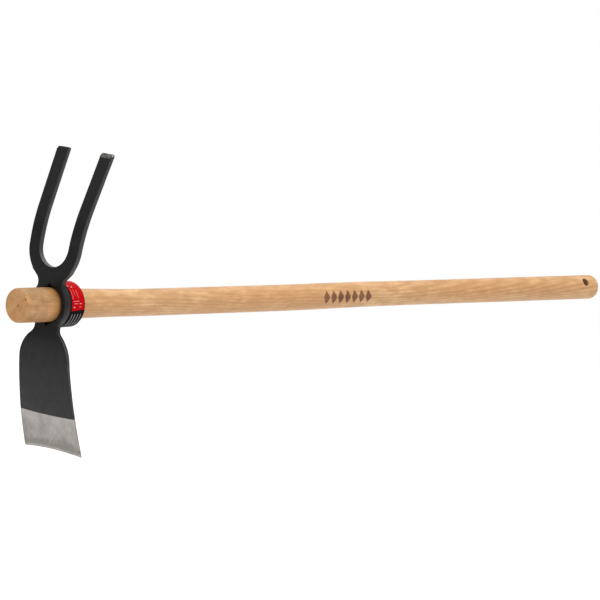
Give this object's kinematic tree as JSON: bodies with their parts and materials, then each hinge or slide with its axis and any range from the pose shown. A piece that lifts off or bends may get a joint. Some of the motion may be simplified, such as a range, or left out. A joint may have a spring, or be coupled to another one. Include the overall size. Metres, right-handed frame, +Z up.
{
  "type": "combination hoe",
  "caption": "Long handled combination hoe: a forged head with a two-tine fork above the eye and a broad draw blade below it, jammed on a turned wooden handle.",
  "frame": {"origin": "centre of the handle's flat end face at the head end", "axes": "+X along the handle to the grip end, +Z up to the tine tips, -Y to the side that the picture shows"},
  "size_m": [0.9, 0.0804, 0.2991],
  "materials": {
    "handle_wood": "turned hardwood with a thin clear varnish",
    "lacquered_steel": "black lacquer over forged steel, bare ground steel on the lower blade",
    "printed_label": "thin glossy printed wrap, red above and black below"
  },
  "bodies": {
    "root": {"handle": "handle_wood", "head": "lacquered_steel", "label": "printed_label"}
  },
  "joints": []
}
